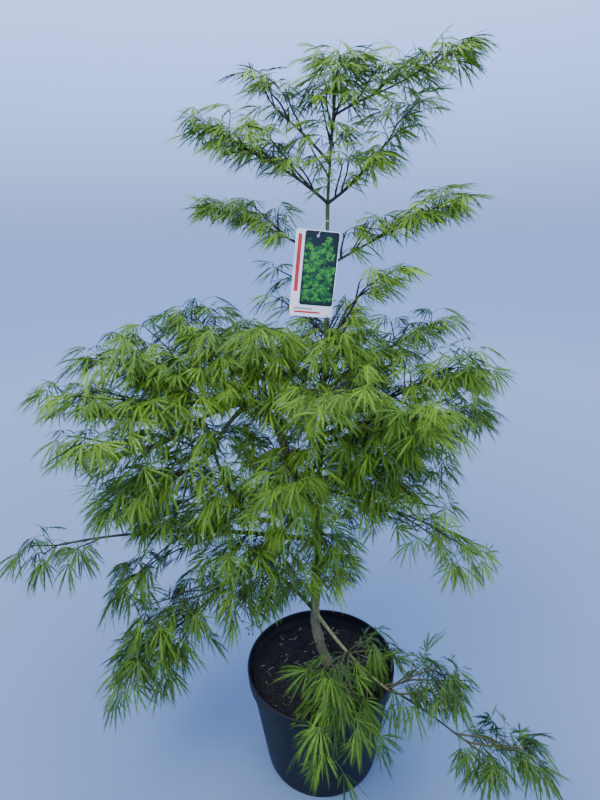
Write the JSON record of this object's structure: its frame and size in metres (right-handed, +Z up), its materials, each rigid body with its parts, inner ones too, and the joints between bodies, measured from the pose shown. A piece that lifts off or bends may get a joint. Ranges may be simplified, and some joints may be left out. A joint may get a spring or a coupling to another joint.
{
  "type": "potted japanese maple",
  "caption": "Young laceleaf Japanese maple in a round black nursery pot: a bent trunk, an upright leader, arching and trailing boughs, layered drooping foliage and a hang tag.",
  "frame": {"origin": "middle of the pot's flat underside, on the ground", "axes": "+Z up, +X the plant's right as seen from its front, -Y its front"},
  "size_m": [0.9874, 0.5288, 1.3666],
  "materials": {
    "pot_plastic": "black moulded nursery-pot plastic with a dull shine",
    "compost": "moist dark potting compost with pale fibres",
    "old_bark": "grey-green smooth bark with pale flecks",
    "young_bark": "green-brown young bark, reddish towards the shoots",
    "foliage": "finely cut bright green leaves, darker underneath",
    "tag_card": "white printed plastic card"
  },
  "bodies": {
    "root": {"pot": "pot_plastic", "potting_compost": "compost", "trunk": "old_bark", "leader": "young_bark", "top_left_bough": "young_bark", "top_left_upper_bough": "young_bark", "top_right_bough": "young_bark", "top_right_low_bough": "young_bark", "mid_left_bough": "young_bark", "mid_right_bough": "young_bark", "low_mid_right_bough": "young_bark", "right_upper_bough": "young_bark", "right_long_bough": "young_bark", "right_front_bough": "young_bark", "right_back_bough": "young_bark", "right_low_bough": "young_bark", "left_long_bough": "young_bark", "left_front_bough": "young_bark", "left_drop_bough": "young_bark", "low_left_bough": "young_bark", "hanging_left_bough": "young_bark", "inner_left_bough": "young_bark", "front_low_bough": "young_bark", "front_trailing_bough": "young_bark", "hang_tag": "tag_card", "top_tip_foliage": "foliage", "top_left_foliage": "foliage", "top_left_upper_foliage": "foliage", "top_right_foliage": "foliage", "top_right_low_foliage": "foliage", "mid_left_foliage": "foliage", "mid_right_foliage": "foliage", "low_mid_left_foliage": "foliage", "low_mid_right_foliage": "foliage", "crown_left_foliage": "foliage", "crown_back_foliage": "foliage", "crown_front_foliage": "foliage", "right_upper_foliage": "foliage", "right_long_foliage": "foliage", "right_front_foliage": "foliage", "right_back_foliage": "foliage", "right_middle_foliage": "foliage", "right_low_foliage": "foliage", "right_inner_foliage": "foliage", "left_long_foliage": "foliage", "left_rising_foliage": "foliage", "left_back_foliage": "foliage", "left_front_foliage": "foliage", "left_drop_foliage": "foliage", "low_left_foliage": "foliage", "low_left_inner_foliage": "foliage", "left_weeping_foliage": "foliage", "hanging_left_foliage": "foliage", "inner_left_foliage": "foliage", "middle_front_foliage": "foliage", "middle_back_foliage": "foliage", "front_low_foliage": "foliage", "front_trailing_foliage": "foliage", "front_hanging_foliage": "foliage", "front_right_foliage": "foliage"}
  },
  "joints": []
}
